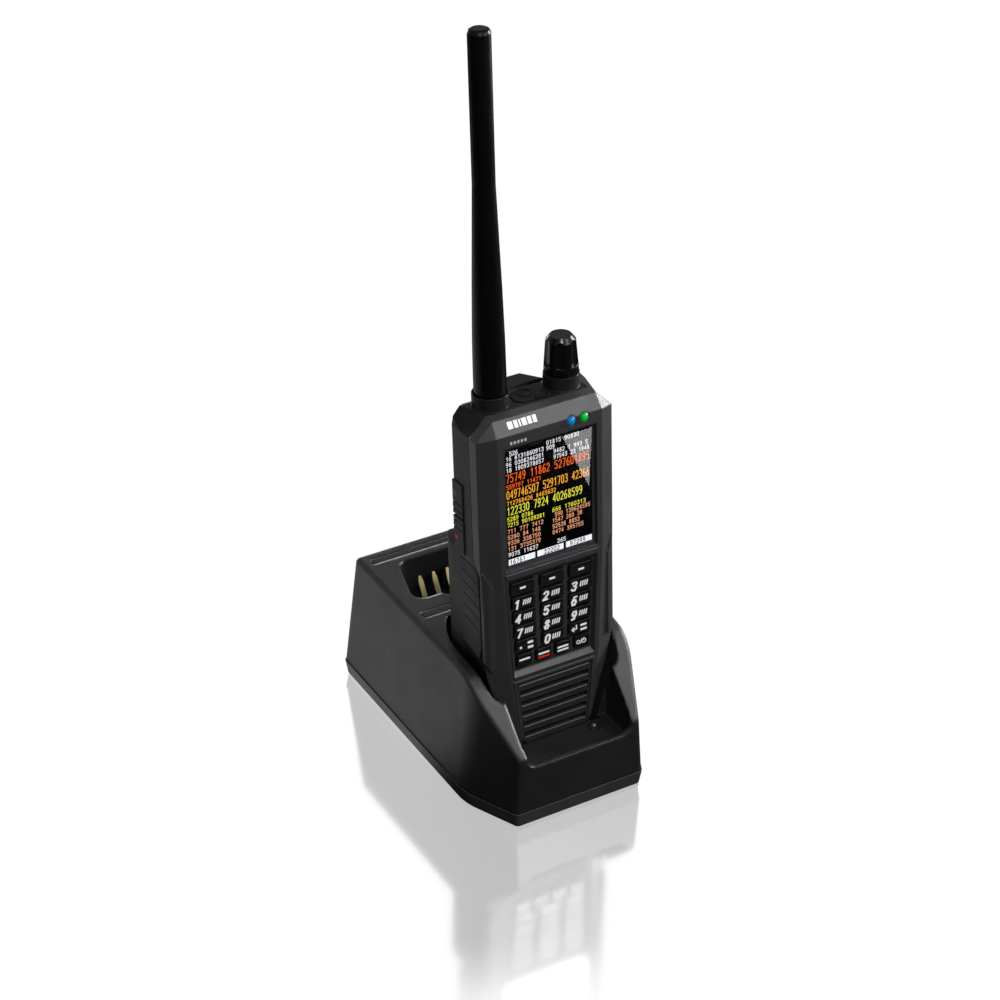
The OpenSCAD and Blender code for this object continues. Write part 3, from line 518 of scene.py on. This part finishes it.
# Distance from the screen's top, height, colour, first column, digits in each group, pitch.
ROWS = [
    (0.5, SMALL, "white", 1.8, (3,), 1.25),
    (0.5, SMALL, "white", 17.5, (5, 5), 1.3),
    (2.5, SMALL, "white", 0.3, (2, 10), 1.25),
    (2.7, SMALL, "white", 17.5, (3,), 1.25),
    (4.9, SMALL, "white", 0.3, (2, 10), 1.25),
    (4.9, SMALL, "white", 20.5, (4, 1, 3, 1), 1.25),
    (7.3, SMALL, "white", 0.3, (2, 10), 1.25),
    (7.3, SMALL, "white", 20.5, (5, 2, 4), 1.2),
    (9.9, LARGE, "orange", 0.2, (5, 5, 9), 1.72),
    (14.3, SMALL, "orange", 0.2, (6, 5), 1.25),
    (16.8, LARGE, "gold", 0.2, (9, 7, 5), 1.56),
    (21.2, SMALL, "gold", 0.2, (9, 7), 1.25),
    (23.7, LARGE, "yellow", 0.2, (6, 4, 8), 1.64),
    (28.0, SMALL, "yellow", 0.2, (4, 4), 1.25),
    (29.6, SMALL, "yellow", 19.5, (3, 7), 1.35),
    (30.4, SMALL, "yellow", 0.2, (4, 8), 1.25),
    (31.9, SMALL, "salmon", 20.6, (3, 9), 1.2),
    (33.2, SMALL, "salmon", 0.2, (3, 3, 4), 1.3),
    (34.3, SMALL, "salmon", 19.5, (4, 3, 2), 1.2),
    (35.7, SMALL, "salmon", 0.2, (4, 2, 3), 1.3),
    (36.8, SMALL, "salmon", 19.5, (5, 4), 1.2),
    (38.2, SMALL, "salmon", 0.2, (4, 6), 1.3),
    (39.3, SMALL, "salmon", 19.5, (4, 6), 1.25),
    (40.7, SMALL, "salmon", 0.2, (3, 7), 1.3),
    (43.2, SMALL, "white", 0.3, (4, 5), 1.3),
    (43.6, SMALL, "white", 21.5, (3,), 1.3),
]
# The three boxes along the bottom: their left and right ends, and where their numbers start.
BOXES = [(0.2, 11.6, 0.8), (12.6, 24.0, 15.6), (25.1, 36.5, 27.0)]
BOX_LOW, BOX_HIGH = 0.4, 2.9


def numbers(groups):
    """Groups of seeded random digits with blanks between them."""
    return " ".join("".join(random.choice("0123456789") for _ in range(n)) for n in groups)


drawn = {color: Marks(face_at(PANEL_D), PIXEL_THICK) for color in pixels}
for top, tall, color, left, groups, pitch in ROWS:
    low = SCREEN_TALL - top - tall
    wide = pitch * DIGIT_SHARE
    drawn[color].write(
        numbers(groups), left + SCREEN_LEFT, low, wide, tall, pitch, STROKES[tall]
    )
for left, right, _ in BOXES:
    drawn["white"].bar(left + SCREEN_LEFT, BOX_LOW, right + SCREEN_LEFT, BOX_HIGH)
for color, marks in drawn.items():
    marks.make("screen_" + color, "radio", pixels[color], "panel_dark")
labels = Marks(face_at(PANEL_D - PIXEL_THICK), 0.02)
for _, _, left in BOXES:
    labels.write(numbers((5,)), left + SCREEN_LEFT, 0.7, 0.85, 1.8, 1.4, 0.28)
labels.make("screen_labels", "radio", screen, "panel_dark")

# ---- legends on the keys ----
KEY_ROWS = [
    ["key_soft_1", "key_soft_2", "key_soft_3"],
    ["key_1", "key_2", "key_3"],
    ["key_4", "key_5", "key_6"],
    ["key_7", "key_8", "key_9"],
    ["key_point", "key_0", "key_enter"],
    ["key_low_1", "key_low_2", "key_low_3", "key_low_4"],
]
ROW_TOP, ROW_PITCH, KEY_TALL = -7.8, 6.49, 5.3
KEY_MARGIN = 0.45  # from the flange's edge to the cap's
# The cap's sloping face: height above the key's middle, and depth.
SLOPE_TOP, SLOPE_TOP_D = 1.4, 0.65
SLOPE_LOW, SLOPE_LOW_D = -3.0, 0.45
LEGEND_SUNK, LEGEND_THICK = 0.01, 0.06


def key_face(middle):
    """The sloping face of the keys in the row at this height."""
    rise = (SLOPE_TOP_D - SLOPE_LOW_D) / (SLOPE_TOP - SLOPE_LOW)

    def surface(x, h, out):
        slope = SLOPE_TOP_D - (SLOPE_TOP - (h - middle)) * rise
        return at(x, slope + LEGEND_SUNK - out, h)

    return surface


def digit_legend(marks, text, x, h, half):
    """A slanting digit and four short strokes in place of a word."""
    marks.digit(text, x - half + 0.9, h - 2.1, 1.7, 3.3, 0.8, slant=0.22)
    for i in range(4):
        left = x - 0.25 + i * 0.95
        marks.line((left, h - 1.0), (left + 0.4, h + 0.65), 0.52)


def point_legend(marks, x, h, half):
    """A full stop and two bars."""
    marks.bar(x - half + 1.6, h - 1.1, x - half + 2.5, h - 0.2)
    for low in (0.2, -1.9):
        marks.bar(x + 0.5, h + low, x + 2.9, h + low + 1.0)


def enter_legend(marks, x, h, half):
    """A bent arrow and two bars."""
    tip, tail = x - half + 1.2, x - half + 3.2
    level = h - 0.4
    marks.line((tail, h + 1.1), (tail, level), 0.5)
    marks.line((tail, level), (tip, level), 0.5)
    for side in (0.8, -0.8):
        marks.line((tip, level), (tip + 0.8, level + side), 0.45)
    for low in (0.2, -1.7):
        marks.bar(x + 0.4, h + low, x + 3.2, h + low + 0.9)


def power_legend(marks, x, h):
    """A ring, a slash, and an open ring with a stroke in its gap."""
    marks.ring(x + 0.9, h - 0.2, 0.85, 0.32, start=120, turn=300)
    marks.line((x + 0.9, h - 0.1), (x + 0.9, h + 1.0), 0.32)
    marks.line((x - 0.6, h - 1.1), (x, h + 0.9), 0.25)
    marks.ring(x - 1.6, h - 0.2, 0.7, 0.32)


def low_legend(marks, name, x, h):
    """One bar, and a second one in white or in red below it on two of the keys."""
    marks.line((x - 2.0, h + 0.25), (x + 2.0, h + 0.25), 0.75)
    if name == "key_low_3":
        marks.line((x - 2.1, h - 1.2), (x + 2.1, h - 1.2), 0.7)
    if name == "key_low_2":
        second = Marks(marks.surface, LEGEND_THICK)
        second.line((x - 2.1, h - 1.3), (x + 2.1, h - 1.3), 0.9)
        return second
    return None


for row, names in enumerate(KEY_ROWS):
    middle = ROW_TOP - row * ROW_PITCH - KEY_TALL / 2
    for name in names:
        low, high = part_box(name)
        center = (low.x + high.x) / 2 / MM
        half = (high.x - low.x) / 2 / MM - KEY_MARGIN
        text = name.removeprefix("key_")
        marks = Marks(key_face(middle), LEGEND_THICK)
        red = None
        if text.startswith("soft"):
            marks.bar(center - 1.2, middle - 0.5, center + 1.3, middle + 0.35)
        elif text.isdigit():
            digit_legend(marks, text, center, middle, half)
        elif text == "point":
            point_legend(marks, center, middle, half)
        elif text == "enter":
            enter_legend(marks, center, middle, half)
        elif text == "low_4":
            power_legend(marks, center, middle)
        else:
            red = low_legend(marks, name, center, middle)
        marks.make("legend_" + text, name, legend, "key_rubber")
        if red:
            red.make("legend_red_" + text, name, red_legend, "key_rubber")

# ---- serrated lower halves of the louvres ----
GRILLE_TOP, SLAT_PITCH, SLATS = -53.2, 4.9, 6
SLAT_HALF, SLAT_TAPER = 15.6, 0.42
RIDGES = 30
RIDGE_WIDE, RIDGE_TALL, RIDGE_DROP = 0.6, 0.3, 0.18
RIDGE_SUNK = 0.02
# Depth, height and sideways lean of a ridge's upper and lower ends on the sloping louvre.
RIDGE_ENDS = ((0.0, -2.3, 0.45), (1.4, -3.9, -0.25))
RIDGE_FACES = ([0, 1, 2], [5, 4, 3], [0, 3, 4, 1], [1, 4, 5, 2], [2, 5, 3, 0])
points, faces = [], []
for slat in range(SLATS):
    top = GRILLE_TOP - 0.5 - slat * SLAT_PITCH
    half = SLAT_HALF - SLAT_TAPER * slat
    count = RIDGES - slat
    for ridge in range(count):
        x = -half + (2 * half - 1.0) * ridge / (count - 1)
        first = len(points)
        for d, h, lean in RIDGE_ENDS:
            points += [
                at(x + lean, d + RIDGE_SUNK, top + h),
                at(x + lean + RIDGE_WIDE / 2, d + RIDGE_SUNK - RIDGE_TALL, top + h - RIDGE_DROP),
                at(x + lean + RIDGE_WIDE, d + RIDGE_SUNK, top + h),
            ]
        faces += [[first + corner for corner in face] for face in RIDGE_FACES]
add_piece("louvre_ribs", points, faces, "radio", louvre)

# ---- plain marks on the top bevel, the face and the side buttons ----
BEVEL_LOW, BEVEL_HIGH, BEVEL_D = 55.8, 61.1, 4.0
BEVEL_OUT = -DEEP * 0.8 + UP * 0.6
BEVEL_GAP = 0.01
# Left end and width of each bar on the bevel.
BEVEL_BARS = [(-16.6, 2.2), (-13.9, 1.6), (-11.8, 0.7), (-10.6, 2.0), (-8.1, 1.6), (-6.0, 1.6)]
BUTTON_X, BUTTON_D = -29.5, 19.6


def bevel(x, h, out):
    """The sloping face above the display."""
    share = (h - BEVEL_LOW) / (BEVEL_HIGH - BEVEL_LOW)
    return at(x, share * BEVEL_D, h) + BEVEL_OUT * (out + BEVEL_GAP) * MM


def left_side(d, h, out):
    """The outer face of the side buttons."""
    return at(BUTTON_X - out, d, h)


strip = Marks(bevel, 0.05)
for left, wide in BEVEL_BARS:
    strip.bar(left, 57.6, left + wide, 59.9)
strip.make("bevel_marks", "radio", paint, "front_plastic")
dots = Marks(face_at(0.0), 0.05)
for i in range(5):
    dots.bar(-16.9 + i * 1.5, 51.9, -16.0 + i * 1.5, 53.1)
# The face's grey print glows: painted light.
dots.make("face_marks", "radio", grey_print_painted_glow, "front_plastic")
for name, h, look in (
    ("side_button_upper", 26.0, green_paint),
    ("side_button_lower", 7.0, red_paint),
):
    mark = Marks(left_side, 0.04)
    for i in range(3):
        mark.bar(BUTTON_D + i * 0.75, h - 0.9, BUTTON_D + 0.5 + i * 0.75, h + 0.9)
    mark.make(name + "_mark", name, look, "side_button_rubber")

# ---------------------------------------------------------------------- floor
scene.view_settings.view_transform = "Standard"
scene.view_settings.look = "None"

REACH = 30.0
FLOOR_Z = -0.0002
WHITE = 1.02
SKY = 0.34  # how bright the white room is in mirrors
GLOSS = 0.5
# Distances from the world's origin between which the floor's gloss fades.
GLOSS_NEAR, GLOSS_FAR = 0.128, 0.184


def floor_surface():
    """White to the camera, with a fading image of the object.

    To everything else it is dark, except bright paper behind on the left.
    """
    mat = bpy.data.materials.new("floor_white")
    tree = bare(mat)
    place = tree.nodes.new("ShaderNodeNewGeometry").outputs["Position"]
    far = tree.nodes.new("ShaderNodeVectorMath")
    far.operation = "LENGTH"
    tree.links.new(place, far.inputs[0])
    split = tree.nodes.new("ShaderNodeSeparateXYZ")
    tree.links.new(place, split.inputs["Vector"])

    sheet = node(tree, "Emission", Color=grey(1.0), Strength=WHITE)
    mirror = node(tree, "BsdfGlossy", Color=grey(WHITE / SKY), Roughness=0.1)
    share = mapped(tree, far.outputs["Value"], GLOSS_NEAR, GLOSS_FAR, GLOSS, 0.0, smooth=True)
    seen = mixed(tree, share, sheet.outputs["Emission"], mirror.outputs["BSDF"])

    def ramp(axis, start, end, high=1.0):
        return mapped(tree, split.outputs[axis], start, end, 0.0, high, smooth=True)

    left_part = times(tree, ramp("X", 0.0, -0.04), ramp("X", -0.5, -0.3))
    rear_part = times(tree, ramp("Y", -0.03, 0.012, 0.6), ramp("Y", 0.6, 0.4))
    paper = node(tree, "Emission", Color=grey(1.0))
    tree.links.new(times(tree, left_part, rear_part), paper.inputs["Strength"])
    surface = mixed(tree, light_path(tree, "Is Camera Ray"), paper.outputs["Emission"], seen)
    tree.links.new(surface, tree.nodes.new("ShaderNodeOutputMaterial").inputs["Surface"])
    return mat


corners = [(-REACH, -REACH, 0), (REACH, -REACH, 0), (REACH, REACH, 0), (-REACH, REACH, 0)]
floor = new_mesh("floor", corners, [(0, 1, 2, 3)], floor_surface())
floor.location.z = FLOOR_Z


# ---------------------------------------------------------------------- light
def by_bounce(tree, bounces, high, low):
    """high for light seen within so many bounces, low for what lights only images in the floor."""
    depth = light_path(tree, "Ray Depth")
    return mapped(tree, depth, bounces + 0.4, bounces + 0.6, high, low)


def studio():
    """A white sheet to the camera, a dimmer room in mirrors and a nearly dark one for the rest."""
    world = bpy.data.worlds.new("studio")
    tree = bare(world)
    room = node(tree, "Background", Color=grey(1.0), Strength=0.02)
    paper = node(tree, "Background", Color=grey(1.0))
    tree.links.new(by_bounce(tree, 2, SKY, SKY * 0.3), paper.inputs["Strength"])
    sheet = node(tree, "Background", Color=grey(1.0), Strength=WHITE)
    around = mixed(
        tree,
        light_path(tree, "Is Diffuse Ray"),
        paper.outputs["Background"],
        room.outputs["Background"],
    )
    surface = mixed(
        tree, light_path(tree, "Is Camera Ray"), around, sheet.outputs["Background"]
    )
    tree.links.new(surface, tree.nodes.new("ShaderNodeOutputWorld").inputs["Surface"])
    return world


def softbox(name, toward, distance, wide, tall, watts, target=(0.0, -0.02, 0.1), image=1.0):
    """A rectangular light, placed from its target in the given direction.

    image is the share of its light that the object's image in the floor gets.
    """
    lamp = bpy.data.lights.new(name, "AREA")
    lamp.shape = "RECTANGLE"
    lamp.size, lamp.size_y, lamp.energy = wide, tall, watts
    if image < 1:
        lamp.use_nodes = True
        tree = lamp.node_tree
        level = by_bounce(tree, 1, 1.0, image)
        tree.links.new(level, tree.nodes["Emission"].inputs["Strength"])
    made = bpy.data.objects.new(name, lamp)
    scene.collection.objects.link(made)
    direction = Vector(toward).normalized()
    made.location = Vector(target) + direction * distance
    made.rotation_mode = "QUATERNION"
    made.rotation_quaternion = direction.to_track_quat("Z", "Y")


scene.world = studio()
softbox("front_high", (0.42, -0.62, 0.66), 1.1, 0.2, 0.16, 2.9, image=0.1)
softbox(
    "bevel_light", (0.42, -0.668, 0.62), 0.35, 0.12, 0.08, 0.42, target=(0.0, -0.035, 0.165)
)
softbox("rim_left", (-0.2, -0.58, 0.77), 1.0, 0.1, 0.1, 4.0)
softbox("rim_right", (0.93, -0.12, 0.28), 0.9, 0.1, 0.1, 7.0)
softbox("right_low", (1.0, 0.08, 0.2), 0.9, 0.2, 0.5, 6.5)
softbox("front", (-0.1, -0.9, 0.35), 1.2, 0.8, 0.6, 2.1, image=0.1)
softbox("rear_fill", (0.05, 1.0, -0.01), 1.0, 0.8, 0.16, 2.2)

# --------------------------------------------------------------------- camera
AZIMUTH, ELEVATION = math.radians(-29.78), math.radians(32.49)
camera_data = bpy.data.cameras.new("camera")
camera_data.sensor_width = 36.0
camera_data.lens = 99.2
camera_data.clip_start = 0.01
camera = bpy.data.objects.new("camera", camera_data)
scene.collection.objects.link(camera)
backward = Vector(
    (
        math.sin(AZIMUTH) * math.cos(ELEVATION),
        -math.cos(AZIMUTH) * math.cos(ELEVATION),
        math.sin(ELEVATION),
    )
)
camera.location = (-0.4457, -0.7789, 0.6788)
camera.rotation_mode = "QUATERNION"
camera.rotation_quaternion = (-backward).to_track_quat("-Z", "Y")
scene.camera = camera

# ----------------------------------------------- glint in the display's window
# A bright card in front of the radio, seen only in mirrors. In the window its
# image is a wedge with these corners, given as x and h.
WEDGE = [(5.3, 48.8), (18.2, 49.3), (16.6, 24.6)]
WINDOW_D = 0.3
CARD_Y = -0.25


def card_corner(x, h):
    """Where the line of sight to a point of the window ends once it is mirrored there."""
    spot = at(x, WINDOW_D, h)
    onward = (spot - camera.location).reflect(DEEP)
    return spot + onward * (CARD_Y - spot.y) / onward.y


def card_surface():
    mat = bpy.data.materials.new("glint_light")
    tree = bare(mat)
    glow = node(tree, "Emission", Color=grey(1.0), Strength=5.5)
    nothing = node(tree, "BsdfTransparent", Color=grey(1.0))
    mirrored = light_path(tree, "Is Glossy Ray")
    surface = mixed(tree, mirrored, nothing.outputs["BSDF"], glow.outputs["Emission"])
    tree.links.new(surface, tree.nodes.new("ShaderNodeOutputMaterial").inputs["Surface"])
    return mat


glint = new_mesh("glint_card", [card_corner(x, h) for x, h in WEDGE], [(0, 1, 2)], card_surface())
